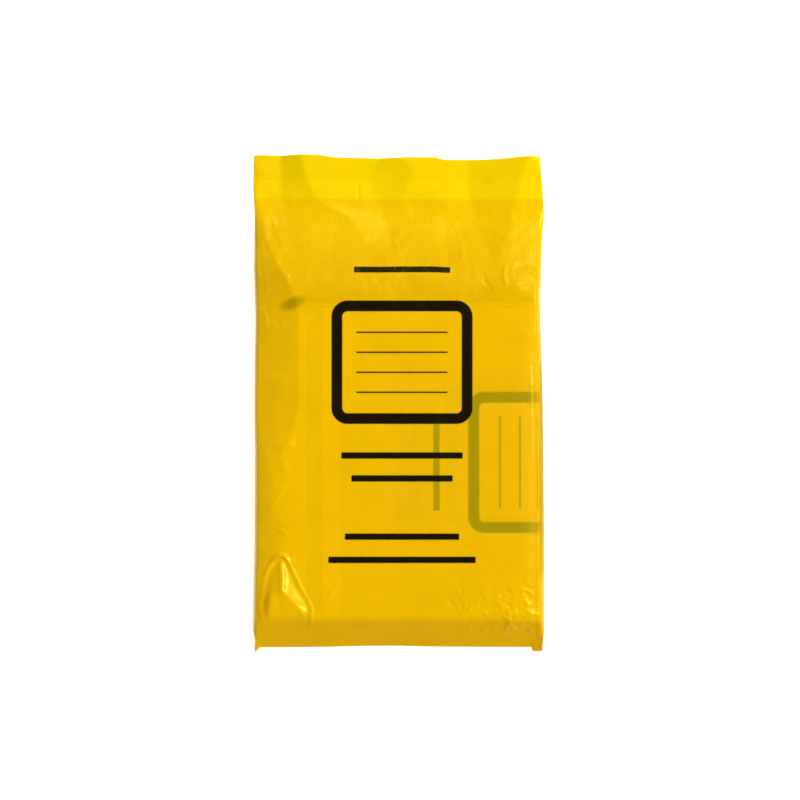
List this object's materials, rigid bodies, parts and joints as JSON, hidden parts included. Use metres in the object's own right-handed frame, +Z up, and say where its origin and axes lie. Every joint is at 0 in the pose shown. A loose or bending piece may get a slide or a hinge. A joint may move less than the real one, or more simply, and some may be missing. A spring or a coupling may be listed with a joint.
{
  "type": "biohazard waste bag",
  "caption": "Flat pack of yellow self-sealing film waste bags: a bag lying on its back that holds a stack of the same bags folded in half.",
  "frame": {"origin": "on the floor, under the middle of the pack's bounding box", "axes": "+Y along the bag towards its mouth, +Z up out of its printed front, +X to the right seen from above with the mouth at the top"},
  "size_m": [0.1982, 0.3392, 0.0207],
  "materials": {
    "film": "glossy thin polyethylene film, translucent yellow",
    "folded_film": "satin thin polyethylene film, yellow",
    "strip_tape": "pale release tape"
  },
  "bodies": {
    "root": {"outer_bag": "film", "adhesive_strip": "strip_tape", "top_folded_bag": "folded_film", "second_folded_bag": "folded_film", "folded_bag_stack": "folded_film"}
  },
  "joints": []
}
